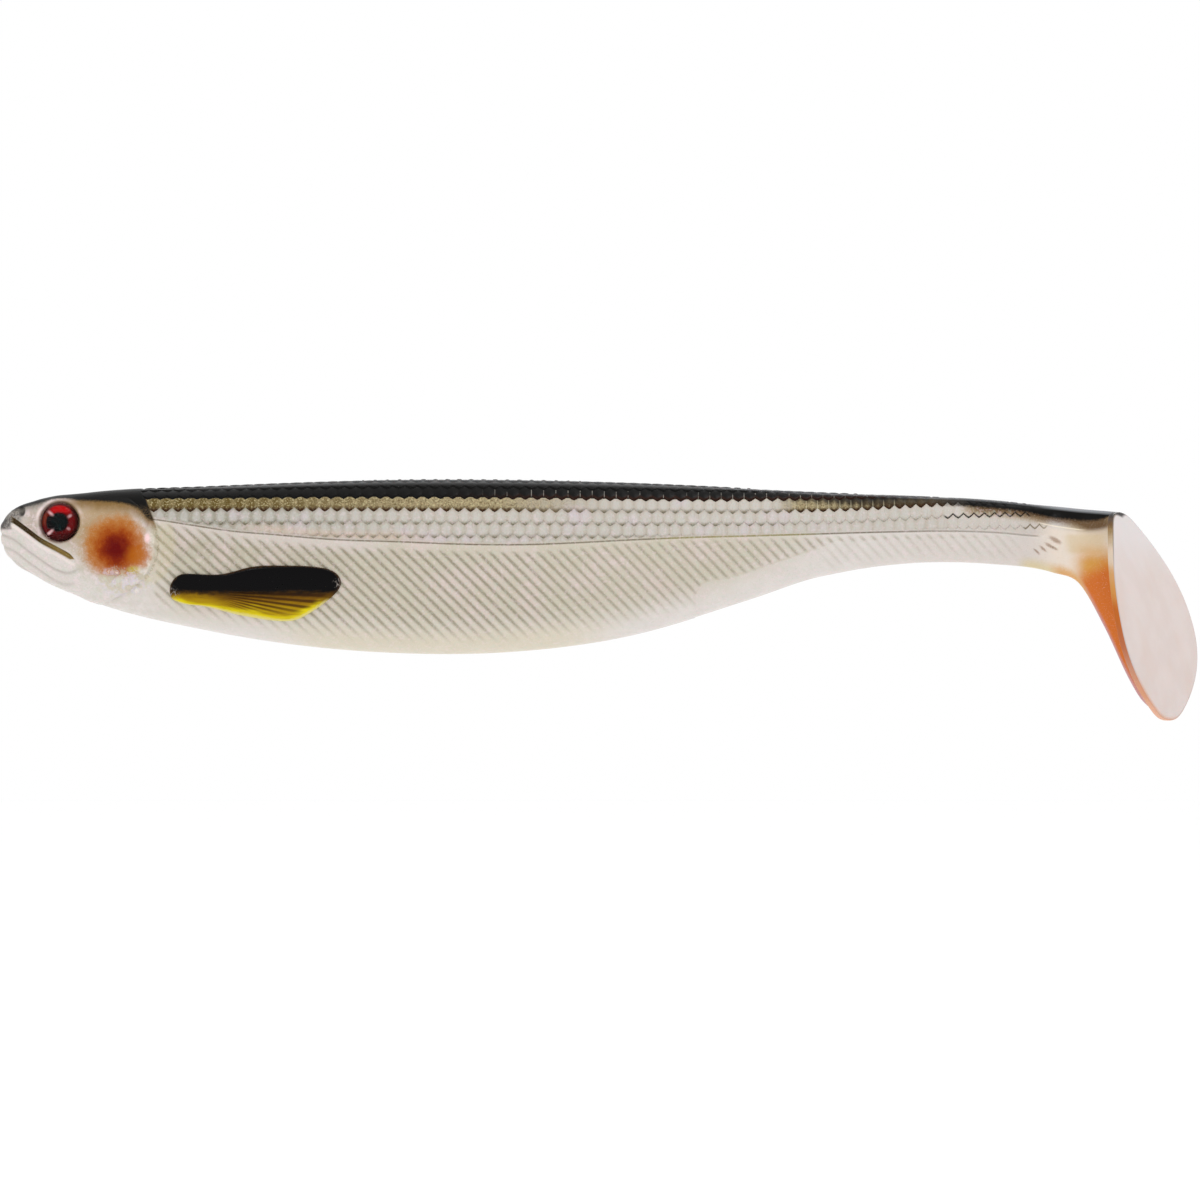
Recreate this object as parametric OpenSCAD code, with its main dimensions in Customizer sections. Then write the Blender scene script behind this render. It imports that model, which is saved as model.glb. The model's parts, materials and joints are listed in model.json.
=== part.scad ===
// Soft-plastic paddle-tail swimbait.
// Millimetres, +Z up. The nose is at the origin and the tail lies towards +X.
// The fish's left side faces -Y.

/* [Body] */
// Overall length of the bait, from the nose to the back of the paddle
overall_length = 220; // [200:1:240]
// Height of the trunk at its deepest
body_height = 32.1; // [29:0.1:35]
// Thickness of the trunk at its thickest
body_width = 17.4; // [15:0.1:19]
// Where the head ends and the front trunk begins
head_length = 28; // [26:0.5:30]

/* [Flex joints] */
// Distance from the nose to the front flex line
front_flex_x = 96; // [90:1:100]
// Distance from the nose to the rear flex line
rear_flex_x = 134; // [128:1:138]
// Distance from the nose to the stem flex line
stem_flex_x = 167; // [162:1:172]
// Distance from the nose to the wrist that carries the paddle
wrist_x = 193.5; // [190:0.5:195]
// Clearance between neighbouring sections
flex_gap = 0.3; // [0.2:0.05:0.5]

/* [Tail] */
// Angle by which the tail is set to the left at rest
tail_set = 30; // [0:1:40]
// Width of the paddle
paddle_width = 31; // [26:0.2:32]
// Height of the paddle from top to bottom
paddle_height = 38.1; // [36:0.1:41]
// Thickness of the paddle
paddle_thickness = 1.5; // [1.3:0.1:2.6]
// Backward lean of the paddle
paddle_lean = 15.2; // [10:0.2:20]
// How far the paddle's rear face bulges backwards
paddle_bow = 2.1; // [0:0.1:3]

/* [Eyes] */
// Diameter of the stick-on eye
eye_diameter = 7; // [5:0.5:7.5]
// Thickness of the printed foil behind the dome
eye_foil_thickness = 0.3; // [0.2:0.05:0.5]
// Height of the clear dome above the foil
eye_dome_height = 1.9; // [1.4:0.1:2.2]

/* [Fins] */
// How far the pectoral fins stand out of the flank
fin_relief = 0.7; // [0.4:0.1:1]

/* [Hidden] */
$fn = 64;

// The casting's outline for a 220 mm bait: distance from the nose, back, belly, half thickness.
STATIONS = [
    [0, 2.5, -3.4, 2.3],
    [2, 4.2, -5.6, 3.6],
    [6, 5.8, -8.2, 5.0],
    [16, 7.3, -12.6, 6.8],
    [38, 8.5, -18.2, 8.2],
    [71, 9.7, -22.2, 8.7],
    [93, 9.7, -22.1, 8.4],
    [115, 9.2, -19.2, 7.4],
    [137, 8.1, -12.7, 5.4],
    [150, 7.4, -8.4, 4.2],
    [165, 6.8, -5.9, 3.3],
    [182, 5.9, -5.9, 2.7],
    [193, 4.8, -7.4, 2.3],
    [199, 4.2, -9.9, 2.0],
    [204, 3.8, -17.8, 1.8],
    [209, 3.4, -27.4, 1.6],
    [220, 3, -34, 1.5]];
STATION_LENGTH = 220;
STATION_HEIGHT = 32.1;
STATION_WIDTH = 17.4;
long = overall_length / STATION_LENGTH;
tall = body_height / STATION_HEIGHT;
wide = body_width / STATION_WIDTH;

ring_pitch = 3;
ring_sides = 28;
widest_height = 0.44;     // share of the section's height, down from the back, at which it is widest
section_power = 2 / 2.3;  // makes the section a little squarer than an ellipse
knuckle_side = 1.25;      // a knuckle's radius over the casting's half thickness
far = 60;                 // reaches past the casting on every side

eye_x = 11.1 * long;
eye_z = 1.7;
eye_sink = 1.1;       // the foil's depth below the cheek
eye_toe_in = 10;      // the eyes look a little forwards
eye_look_up = 8;      // and a little upwards
socket_clearance = 0.02;

paddle_top_z = 3.6;
paddle_face_x = 206.9 * long;  // the paddle's rear face at its top
paddle_widest = 0.58;          // share of the paddle's height, down from the top, at which it is widest
paddle_shoulder = 0.8;         // below 0.5 the top is fuller, above it the top is more pointed
paddle_foot = 0.7;             // the same for the bottom
paddle_steps = 28;

// The pectoral fin's outline on the flank, as a closed curve through these points.
FIN = [[31.2, -10], [32.2, -8.4], [34.1, -7.7], [40.4, -7.8], [46.4, -6.4], [51.9, -6.2], [57.4, -6.4],
       [61, -7.2], [62.5, -9.1], [61.2, -11.6], [55.9, -15.4], [51.9, -16.4], [44.5, -15.4], [38, -13.8],
       [33.6, -13.2], [31.4, -12.1]];
fin_steps = 4;

// ---- smooth curve through the stations ----
function span_of(x, i = 0) = i >= len(STATIONS) - 2 || x <= STATIONS[i + 1][0] ? i : span_of(x, i + 1);
function rise(k, i) = (STATIONS[i + 1][k] - STATIONS[i][k]) / (STATIONS[i + 1][0] - STATIONS[i][0]);
function run(i) = STATIONS[i + 1][0] - STATIONS[i][0];
function slope(k, i) =
    i == 0 ? rise(k, 0)
    : i == len(STATIONS) - 1 ? rise(k, i - 1)
    : (rise(k, i - 1) * run(i) + rise(k, i) * run(i - 1)) / (run(i - 1) + run(i));
function blend(t, p, q, m, n) =
    (2 * t ^ 3 - 3 * t ^ 2 + 1) * p + (t ^ 3 - 2 * t ^ 2 + t) * m
    + (3 * t ^ 2 - 2 * t ^ 3) * q + (t ^ 3 - t ^ 2) * n;
function outline(x, k) =
    let (s = x / long, i = span_of(s), t = (s - STATIONS[i][0]) / run(i))
    blend(t, STATIONS[i][k], STATIONS[i + 1][k], slope(k, i) * run(i), slope(k, i + 1) * run(i));
function back(x) = outline(x, 1) * tall;
function belly(x) = outline(x, 2) * tall;
function half_width(x) = outline(x, 3) * wide;

// ---- the casting as a loft ----
function signed_power(v) = sign(v) * abs(v) ^ section_power;
function ring(x, grow) =
    let (top = back(x), bottom = belly(x), middle = top - widest_height * (top - bottom))
    [for (i = [0:ring_sides - 1])
        let (a = 360 * i / ring_sides, reach = sin(a) > 0 ? top - middle : middle - bottom)
        [x, (half_width(x) + grow) * signed_power(cos(a)), middle + (reach + grow) * signed_power(sin(a))]];

module loft(rings) {
    n = len(rings[0]);
    last = len(rings) - 1;
    points = [for (r = rings) each r];
    sides = [for (j = [0:last - 1], i = [0:n - 1])
        let (a = j * n + i, b = j * n + (i + 1) % n)
        each [[a, b + n, b], [a, a + n, b + n]]];
    polyhedron(points, concat(sides,
        [[for (i = [0:n - 1]) i]],
        [[for (i = [n - 1:-1:0]) last * n + i]]));
}

// The casting between two distances from the nose.
module casting(x0, x1, grow = 0) {
    count = max(2, ceil((x1 - x0) / ring_pitch));
    loft([for (i = [0:count]) ring(x0 + (x1 - x0) * i / count, grow)]);
}

// ---- flex joints: the rear section's round end turns in the front section's hollow end ----
function knuckle_radius(x) = knuckle_side * half_width(x);

module hollow_end(x) {
    translate([x, 0, -far])
        cylinder(r = knuckle_radius(x), h = 2 * far);
}

module round_end(x) {
    r = knuckle_radius(x);
    difference() {
        translate([x - 2 * r, -far, -far])
            cube([2 * r, 2 * far, 2 * far]);
        translate([x, 0, -far - 1])
            cylinder(r = r - flex_gap, h = 2 * far + 2);
    }
}

module section(x0, x1) {
    difference() {
        casting(x0 - knuckle_radius(x0), x1);
        round_end(x0);
        hollow_end(x1);
    }
}

// ---- tail ----
module set_tail() {
    translate([wrist_x, 0, 0])
        rotate([0, 0, -tail_set])
            translate([-wrist_x, 0, 0])
                children();
}

// Shares of the paddle's height, down from the top, that its facets lie between.
PADDLE_DOWN = [for (i = [0:paddle_steps]) min(0.999, max(0.001, (1 - cos(180 * i / paddle_steps)) / 2))];
function paddle_z(down) = paddle_top_z - down * paddle_height;
function paddle_x(down) =
    paddle_face_x + tan(paddle_lean) * down * paddle_height + 4 * paddle_bow * down * (1 - down);
function paddle_half_width(down) =
    let (above = down < paddle_widest,
         share = above ? (paddle_widest - down) / paddle_widest
                       : (down - paddle_widest) / (1 - paddle_widest),
         power = above ? paddle_shoulder : paddle_foot)
    paddle_width / 2 * (1 - share ^ 2) ^ (power - (power - 0.5) * share ^ 8);  // round at the very ends

// Everything behind the paddle's front face.
module behind_paddle_front() {
    front = [for (down = PADDLE_DOWN) [paddle_x(down) - paddle_thickness, paddle_z(down)]];
    first = front[0];
    last = front[paddle_steps];
    rotate([90, 0, 0])
        linear_extrude(2 * far, center = true)
            polygon(concat([[first[0], far]], front,
                [[last[0], -far], [last[0] + far, -far], [last[0] + far, far]]));
}

// ---- pectoral fin ----
function fin_point(i) = FIN[(i + len(FIN)) % len(FIN)];
function fin_curve(i, t) =
    blend(t, fin_point(i), fin_point(i + 1),
          (fin_point(i + 1) - fin_point(i - 1)) / 2, (fin_point(i + 2) - fin_point(i)) / 2);

module fin_outline() {
    polygon([for (i = [0:len(FIN) - 1], j = [0:fin_steps - 1])
        let (p = fin_curve(i, j / fin_steps)) [p[0] * long, p[1] * tall]]);
}

module fin(side) {
    difference() {
        intersection() {
            casting(head_length, front_flex_x, fin_relief);
            mirror([0, side < 0 ? 1 : 0, 0])
                rotate([90, 0, 180])
                    mirror([1, 0, 0])
                        linear_extrude(far)
                            fin_outline();
        }
        casting(head_length, front_flex_x);
    }
}

// ---- eyes ----
// Puts a shape drawn along +Z on the cheek, looking outwards, with its base at the foil.
module on_cheek(side) {
    translate([eye_x, side * (half_width(eye_x) - eye_sink - 0.3), eye_z])
        rotate([side * (eye_look_up - 90), 0, 0])
            rotate([0, -eye_toe_in, 0])
                children();
}

module eye_socket(side) {
    on_cheek(side)
        cylinder(d = eye_diameter + 2 * socket_clearance, h = far);
}

module eye_foil(side) {
    on_cheek(side)
        cylinder(d = eye_diameter, h = eye_foil_thickness);
}

module eye_dome(side) {
    cap = eye_dome_height;
    r = eye_diameter / 2;
    ball = (r ^ 2 + cap ^ 2) / (2 * cap);
    on_cheek(side)
        translate([0, 0, eye_foil_thickness])
            intersection() {
                cylinder(r = r, h = cap + 1);
                translate([0, 0, cap - ball])
                    sphere(r = ball);
            }
}

// ---- nodes ----
module head() {
    color("lightgray")
        difference() {
            casting(0, head_length);
            eye_socket(-1);
            eye_socket(1);
        }
}

module front_trunk() {
    color("gainsboro")
        difference() {
            casting(head_length, front_flex_x);
            hollow_end(front_flex_x);
        }
}

module mid_trunk() {
    color("gainsboro")
        section(front_flex_x, rear_flex_x);
}

module rear_trunk() {
    color("gainsboro")
        section(rear_flex_x, stem_flex_x);
}

module tail_stem() {
    color("gainsboro")
        section(stem_flex_x, wrist_x);
}

module tail_web() {
    color("darkorange")
        set_tail()
            difference() {
                casting(wrist_x - knuckle_radius(wrist_x), overall_length);
                round_end(wrist_x);
                behind_paddle_front();
            }
}

module tail_paddle() {
    color("mistyrose")
        set_tail()
            loft([for (down = PADDLE_DOWN)
                let (w = paddle_half_width(down), x = paddle_x(down), z = paddle_z(down))
                [[x - paddle_thickness, w, z], [x, w, z], [x, -w, z], [x - paddle_thickness, -w, z]]]);
}

module left_pectoral_fin() {
    color("darkolivegreen")
        fin(-1);
}

module right_pectoral_fin() {
    color("darkolivegreen")
        fin(1);
}

module left_eye_foil() {
    color("red")
        eye_foil(-1);
}

module right_eye_foil() {
    color("red")
        eye_foil(1);
}

module left_eye_dome() {
    color("white", 0.3)
        eye_dome(-1);
}

module right_eye_dome() {
    color("white", 0.3)
        eye_dome(1);
}

head();
front_trunk();
mid_trunk();
rear_trunk();
tail_stem();
tail_web();
tail_paddle();
left_pectoral_fin();
right_pectoral_fin();
left_eye_foil();
left_eye_dome();
right_eye_foil();
right_eye_dome();
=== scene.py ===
import json
import math
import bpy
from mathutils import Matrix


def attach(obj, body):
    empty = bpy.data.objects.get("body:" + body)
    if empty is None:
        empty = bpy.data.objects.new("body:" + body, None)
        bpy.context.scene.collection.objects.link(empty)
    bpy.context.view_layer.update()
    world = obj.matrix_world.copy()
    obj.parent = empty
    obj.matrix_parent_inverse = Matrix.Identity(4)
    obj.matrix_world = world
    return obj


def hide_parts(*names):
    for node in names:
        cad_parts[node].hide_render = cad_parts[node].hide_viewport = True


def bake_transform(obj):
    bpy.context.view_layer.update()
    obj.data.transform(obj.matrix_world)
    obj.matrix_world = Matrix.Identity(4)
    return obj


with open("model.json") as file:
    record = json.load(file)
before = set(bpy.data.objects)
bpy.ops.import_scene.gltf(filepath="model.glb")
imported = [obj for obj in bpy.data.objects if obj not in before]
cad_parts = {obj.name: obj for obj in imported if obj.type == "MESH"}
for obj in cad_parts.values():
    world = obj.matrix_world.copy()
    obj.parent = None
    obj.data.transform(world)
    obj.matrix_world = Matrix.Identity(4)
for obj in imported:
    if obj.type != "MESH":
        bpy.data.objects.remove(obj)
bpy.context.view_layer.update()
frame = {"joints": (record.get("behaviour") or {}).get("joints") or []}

from types import SimpleNamespace

import bpy
import numpy as np
from mathutils import Vector

# The fish is worked out in millimetres, straight, with its nose at 0 and its tail towards +X.
# Its left side is at -Y. Then the tail is set to one side, as the CAD sets it.
MM = 0.001
LEFT, RIGHT = -1, 1

# ---- the casting's outline: distance from the nose, back, belly, half thickness ----
STATIONS = np.array([
    [0, 2.5, -3.4, 2.3],
    [2, 4.2, -5.6, 3.6],
    [6, 5.8, -8.2, 5.0],
    [16, 7.3, -12.6, 6.8],
    [38, 8.5, -18.2, 8.2],
    [71, 9.7, -22.2, 8.7],
    [93, 9.7, -22.1, 8.4],
    [115, 9.2, -19.2, 7.4],
    [137, 8.1, -12.7, 5.4],
    [150, 7.4, -8.4, 4.2],
    [165, 6.8, -5.9, 3.3],
    [182, 5.9, -5.9, 2.7],
    [193, 4.8, -7.4, 2.3],
    [199, 4.2, -9.9, 2.0],
    [204, 3.8, -17.8, 1.8],
    [209, 3.4, -27.4, 1.6],
    [210.8, 3.3, -30.2, 1.55],
    [213.3, 3.2, -32.5, 1.5],
    [220, 3.0, -34.0, 1.5]])
BACK, BELLY, HALF = (STATIONS[:, [0, k]] for k in (1, 2, 3))
WIDEST_HEIGHT = 0.44   # share of a section's height, down from the back, at which it is widest
SECTION_POWER = 2.3    # a little squarer than an ellipse

NOSE_TIP = -0.4        # the chin's foremost point
NOSE_ROUND = 1.45      # length over which the nose rounds off
NOSE_HEIGHT = -0.3     # height of the point that the nose rounds off to

JOINT_X = {j["name"]: j["pos_m"][0] / MM for j in frame["joints"]}
WRIST = JOINT_X["tail_kick"]
TAIL_SET = math.radians(-30)
WRIST_BEND = 7.0       # length each side of the wrist over which the set tail bends
FAN_START = 199.0      # from here the sections lean back until they meet the paddle

PADDLE_WIDTH = 31.0
PADDLE_HEIGHT = 38.1
PADDLE_THICKNESS = 1.5
PADDLE_LEAN = math.radians(15.2)
PADDLE_BOW = 2.1       # how far its rear face bulges backwards
PADDLE_TOP = (206.9, 3.6)  # distance from the nose and height of its rear face's top
PADDLE_WIDEST = 0.58   # share of its height, down from the top, at which it is widest
PADDLE_SHOULDER, PADDLE_FOOT = 0.8, 0.7  # how its outline rounds above and below there
PADDLE_MIDDLE = 0.56   # share of its height at which its rings are centred
PADDLE_HOLLOW = 0.25   # how far its rear face is dished
PADDLE_RIM = 0.3       # width of its rounded rim
RIM_THICKNESS = 0.7    # the rim's, as a share of the paddle's
RIM_ROUND = 0.6        # below 1, the rim is squarer than a circle

# ---- the pattern of scales and ribs ----
SCALE_START = 28.15
SCALE_RATE = 0.4464    # scales per millimetre, up to where they start to shrink towards the tail
SHRINK_START = 101.65
SHRINK_RATE = 0.000486
MIDDLE_SHIFT = 0.14    # how far the middle's scales are moved forwards, in scales
ROW_PITCH = 2.32
WIDER_ROWS = 0.14      # how much wider the rows are in the front half
EDGE_CURVE, EDGE_POINT = 0.14, 0.2  # how round and how pointed a scale's edge is, in rows
FIRST_ROW = 6.05
RIB_PITCH = 2.195
RIB_START = 61.78
RIB_MIDDLE = 88.0      # ribs stand closer the farther they are behind this, and wider in front of it
RIB_CROWDING = 0.0003
RIB_SLANT = (1.037, -0.0003)  # distance forwards for each millimetre up, and its change with x
RIB_SPACING = 1.56     # across the ribs

# Lines on the flank: distance from the nose, height.
LATERAL_LINE = [(24, 2.6), (27, 2.4), (34.6, 1.3), (41.8, 0.2), (51, -0.6), (60.5, -1.4), (73, -1.85),
                (87, -2.35), (97, -2.35), (106, -2.0), (115.5, -1.5), (125, -1.1), (137.5, -0.75),
                (146, -0.5), (163.5, 0.0), (173, 0.15), (183.8, -0.2), (188, -0.6), (191, -0.8), (222, -4)]
ROW_DRIFT = [(-2, 0), (92, 0), (118, -0.33), (138, -0.38), (150, -0.12), (156, 0.05), (163, 0.43),
             (176, 1.05), (190, 1.4), (222, 1.4)]
PANEL_END = [(-2, -40), (127.0, -40), (127.4, -11.5), (128.4, -9.6), (130.2, -8.8), (133.4, -8.5),
             (138.2, -6.9), (143.2, -5.2), (150, -2.9), (153, -1.8), (222, 0)]
INK_EDGE = [(-2, 2.2), (3, 4.2), (7, 5.2), (10.8, 5.95), (14.4, 5.7), (18.3, 5.5), (21.5, 5.2), (24.0, 4.6),
            (25.8, 3.65), (27.2, 2.2), (28.2, 2.0), (155, 4.6), (163, 4.7), (170, 4.9), (179.5, 4.5),
            (188.1, 3.6), (192.4, 2.75), (197.2, 2.2), (201.8, 2.0), (204.5, 2.5), (206.5, 3.4), (222, 6)]
NAPE = (27.9, 2.2, -0.38)  # the head's rear edge above the gill cover: distance, height, slope
MOUTH = [(-2, 4.6), (0.4, 3.0), (2.0, 2.2), (4.65, 0.4), (7.2, -1.45), (10.2, -3.1), (13.5, -4.95),
         (20, -8.5)]
JAW = [(-2, 0.3), (0.4, -0.7), (2.3, -1.5), (4.9, -3.5), (7.0, -5.0), (10.1, -7.0), (12.2, -7.6),
       (13.8, -7.2), (15.4, -6.3), (20, -4)]
MOUTH_SLANT = 0.85     # turns a height above these lines into a distance across them
# The lines below the mouth: how far each is under JAW, and its depth.
JAW_LINES = [(0.0, 0.26), (1.8, 0.22), (3.4, 0.18), (4.9, 0.12)]
# The gill cover's rear edge: height, distance from the nose.
GILL_EDGE = [(-30, 12.5), (-14, 17), (-11, 23), (-8.5, 26.3), (-6, 27.8), (-3.3, 28.5), (-0.2, 28.3),
             (2.4, 27.5), (4.4, 25.7), (5.4, 24.3), (8, 20.5), (12, 16.5)]

# Feather marks: distance from the nose, height, half length, slope.
FEATHERS = [(194.2, -1.5, 1.25, -0.4), (192.9, -2.5, 0.7, -0.5), (191.6, -3.1, 0.55, -0.7),
            (190.3, -3.6, 0.45, -0.8), (194.0, -3.0, 0.4, -0.4)]

EYE = (10.9, 1.78)
EYE_RADIUS = 3.6
NOSTRIL = (3.75, 3.85)
BLUSH = (21.3, -3.0)
THROAT = (22.8, -8.6)


def hermite(t, start, end, start_slope, end_slope):
    """A cubic from start to end as t goes from 0 to 1."""
    return (start + (end - start) * (3 * t ** 2 - 2 * t ** 3) + (t ** 3 - 2 * t ** 2 + t) * start_slope
            + (t ** 3 - t ** 2) * end_slope)


def smooth_line(points, x):
    """A smooth curve through points, at x."""
    px, py = np.array(points, float).T
    run = np.diff(px)
    rise = np.diff(py) / run
    inner = (rise[:-1] * run[1:] + rise[1:] * run[:-1]) / (run[:-1] + run[1:])
    slope = np.concatenate((rise[:1], inner, rise[-1:]))
    i = np.clip(np.searchsorted(px, x) - 1, 0, len(run) - 1)
    return hermite((x - px[i]) / run[i], py[i], py[i + 1], run[i] * slope[i], run[i] * slope[i + 1])


# ---- numbers that vary over a surface: the same formulas shape the mesh and paint it ----
def put(tree, slot, value):
    """Gives a node's input a value, a Field or another node's output."""
    value = getattr(value, "socket", value)
    if isinstance(value, bpy.types.NodeSocket):
        tree.links.new(value, slot)
    else:
        slot.default_value = value


def new_node(tree, kind, inputs):
    node = tree.nodes.new("ShaderNode" + kind)
    for key, value in inputs.items():
        put(tree, node.inputs[key], value)
    return node


def arithmetic(operation):
    """One of Python's operators, as a math node."""
    return lambda a, b: a.math(operation, a, b)


class Field:
    """A number that varies over a surface, held as a node's output, with Python's arithmetic."""

    def __init__(self, tree, socket):
        self.tree, self.socket = tree, socket

    def math(self, operation, *terms):
        node = new_node(self.tree, "Math", dict(enumerate(terms)))
        node.operation = operation
        return Field(self.tree, node.outputs[0])

    def __rsub__(self, other):
        return self.math("SUBTRACT", other, self)

    __add__ = __radd__ = arithmetic("ADD")
    __sub__ = arithmetic("SUBTRACT")
    __mul__ = __rmul__ = arithmetic("MULTIPLY")
    __truediv__ = arithmetic("DIVIDE")


def either(operation, in_numpy):
    """A function of Fields, as a math node, or of numpy's arrays."""
    return lambda a, *b: a.math(operation, a, *b) if isinstance(a, Field) else in_numpy(a, *b)


floor = either("FLOOR", np.floor)
size = either("ABSOLUTE", np.abs)
root = either("SQRT", np.sqrt)
low = either("MINIMUM", np.minimum)
high = either("MAXIMUM", np.maximum)
is_less = either("LESS_THAN", lambda a, b: (a < b) * 1.0)


def frac(a):
    return a - floor(a)


def ease(a, start, end):
    """0 before start, 1 after end, and smooth between them."""
    if not isinstance(a, Field):
        t = np.clip((a - start) / (end - start), 0, 1)
        return t * t * (3 - 2 * t)
    node = new_node(a.tree, "MapRange", {"Value": a, "From Min": min(start, end), "From Max": max(start, end),
                                         "To Min": float(start > end), "To Max": float(start < end)})
    node.interpolation_type = "SMOOTHSTEP"
    return Field(a.tree, node.outputs["Result"])


def within(a, start, end, soft):
    """1 from start to end, easing to 0 over soft beyond each."""
    return ease(a, start - soft, start) * ease(a, end + soft, end)


def reach(x, z, centre, stretch=1.0):
    """Distance from centre in the side view, counting height stretch times."""
    dx, dz = x - centre[0], (z - centre[1]) * stretch
    return root(dx * dx + dz * dz)


def scale_cell(x, v):
    """The row of the scale at a point, its depth below the scale above and its distance above its own
    edge, both in rows, and how far across it is, from 0 at the middle to 1 at a side."""
    shrunk = high(x - SHRINK_START, 0.0)
    column = (x - SCALE_START) * SCALE_RATE + shrunk * shrunk * SHRINK_RATE
    column = column + within(x, 95, 138, 25) * MIDDLE_SHIFT
    side_even = size(frac(column) * 2 - 1)
    side_odd = 1 - side_even
    row = (FIRST_ROW - v) / (ROW_PITCH + ease(x, 135, 75) * WIDER_ROWS)
    even = (row + side_even * (side_even * EDGE_CURVE + EDGE_POINT)) / 2
    odd = (row - 1 + side_odd * (side_odd * EDGE_CURVE + EDGE_POINT)) / 2
    since_even, since_odd = frac(even) * 2, frac(odd) * 2
    number = high(floor(even) * 2, floor(odd) * 2 + 1) + 1
    in_even = is_less(since_odd, since_even)
    across = side_even * in_even + side_odd * (1 - in_even)
    return number, low(since_even, since_odd), 2 - high(since_even, since_odd), across


def worn(x, number):
    """How far the scales' relief has worn off under the black of the back, from 0 to 1."""
    return high(ease(x, 156, 171) * is_less(number, 0.5), ease(x, 169, 178) * is_less(number, 1.5))


def rib_distance(x, z):
    """Distance across the ribs from the nearest groove."""
    crowding = (x - RIB_MIDDLE) * (x - RIB_MIDDLE) * RIB_CROWDING
    turn = (x + (x * RIB_SLANT[1] + RIB_SLANT[0]) * z - RIB_START + crowding) / RIB_PITCH
    return (0.5 - size(frac(turn) - 0.5)) * RIB_SPACING


# ---- the skin as a grid: rings from the nose to the paddle ----
COLUMNS = 320          # points in a ring, from the back, down the left side and up the right
NOSE_RINGS = 25
FAN_RINGS = 60
HEAD_STEP, TRUNK_STEP, STEM_STEP = 0.2, 0.3, 0.32
HEAD_END = 29.0
STEM_START = 150.0
NOSE_BLUNT = 0.7       # below 1, the nose opens faster than a circle
FILLET = 1.3           # how much the web thickens where it meets the paddle
FILLET_FALL = 12       # how fast that falls away in front of the paddle
WEB_TOP, WEB_BOTTOM = 0.03, 0.97  # shares of the paddle's height at which the web meets it
SEAMS = (48, 115, 150.5, 181)     # where the skin's five lengths meet


def ring_places():
    """Each ring's place along the fish, and how far it has opened at the nose, from 0 to 1."""
    cap = np.linspace(0.004, 1, NOSE_RINGS + 1)[:-1]
    nose = NOSE_TIP + NOSE_ROUND * (1 - np.cos(cap * math.pi / 2))
    opened = np.sin(cap * math.pi / 2) ** NOSE_BLUNT
    parts = [nose]
    start = NOSE_TIP + NOSE_ROUND
    for end, step in ((HEAD_END, HEAD_STEP), (STEM_START, TRUNK_STEP), (FAN_START, STEM_STEP)):
        parts.append(np.linspace(start, end, round((end - start) / step) + 1)[:-1])
        start = end
    parts.append(FAN_START + np.linspace(0, 1, FAN_RINGS))
    places = np.concatenate(parts)
    return places, np.concatenate((opened, np.ones(len(places) - len(cap))))


def paddle_x(down):
    """Distance from the nose of the paddle's rear face, at a share of its height down from its top."""
    return PADDLE_TOP[0] + math.tan(PADDLE_LEAN) * down * PADDLE_HEIGHT + 4 * PADDLE_BOW * down * (1 - down)


def section_ends(places, opened):
    """The back's and the belly's points and the half thickness of each ring."""
    fan = np.clip(places - FAN_START, 0, 1)
    ends, outline = [], []
    for line, down in ((BACK, WEB_TOP), (BELLY, WEB_BOTTOM)):
        paddle_end = paddle_x(down) - PADDLE_THICKNESS / 2
        x = np.where(fan > 0, FAN_START + fan * (paddle_end - FAN_START), places)
        outline.append(np.clip(x, 0, None))
        ends += [x, NOSE_HEIGHT + (smooth_line(line, outline[-1]) - NOSE_HEIGHT) * opened]
    half = smooth_line(HALF, (outline[0] + outline[1]) / 2)
    half = half + FILLET * np.exp(-(1 - fan) * FILLET_FALL) * (fan > 0)
    return *ends, half * opened


def evenly(line, count, closed=False):
    """Points at even distances along a line, and those distances. A closed one ends where it starts."""
    along = np.concatenate(([0], np.cumsum(np.linalg.norm(np.diff(line, axis=0), axis=1))))
    even = np.linspace(0, along[-1], count, endpoint=not closed)
    return np.column_stack([np.interp(even, along, part) for part in line.T]), even


def even_outline(outline, count):
    """The same closed outline with its points at even distances."""
    return evenly(np.vstack((outline, outline[:1])), count, closed=True)[0]


def skin_grid():
    """The smooth casting as rings by columns, in straight millimetres, with each point's arc length."""
    places, opened = ring_places()
    top_x, top, bottom_x, bottom, half = section_ends(places, opened)
    fine = np.linspace(0, math.pi, 1500)
    across = np.sin(fine) ** (2 / SECTION_POWER)
    down = np.sign(np.cos(fine)) * np.abs(np.cos(fine)) ** (2 / SECTION_POWER)
    share = np.where(down > 0, WIDEST_HEIGHT * (1 - down), WIDEST_HEIGHT - (1 - WIDEST_HEIGHT) * down)
    grid = np.zeros((len(places), COLUMNS + 1, 3))
    arc = np.zeros((len(places), COLUMNS + 1))
    middle = COLUMNS // 2
    for i in range(len(places)):
        x = top_x[i] + (bottom_x[i] - top_x[i]) * share
        z = top[i] + (bottom[i] - top[i]) * share
        side, even = evenly(np.column_stack((x, half[i] * across, z)), middle + 1)
        side[[0, -1], 1] = 0
        grid[i, :middle + 1] = side * (1, LEFT, 1)
        grid[i, middle:] = side[::-1]
        arc[i, :middle + 1] = even
        arc[i, middle:] = even[::-1]
    return places, grid, arc


def normals_of(grid):
    """Outward unit normals of a grid whose last column repeats its first."""
    along = np.gradient(grid, axis=0)
    closed = np.concatenate((grid[:, -2:-1], grid, grid[:, 1:2]), axis=1)
    around = (closed[:, 2:] - closed[:, :-2]) / 2
    n = np.cross(around, along)
    return n / np.maximum(np.linalg.norm(n, axis=-1, keepdims=True), 1e-9)


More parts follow.
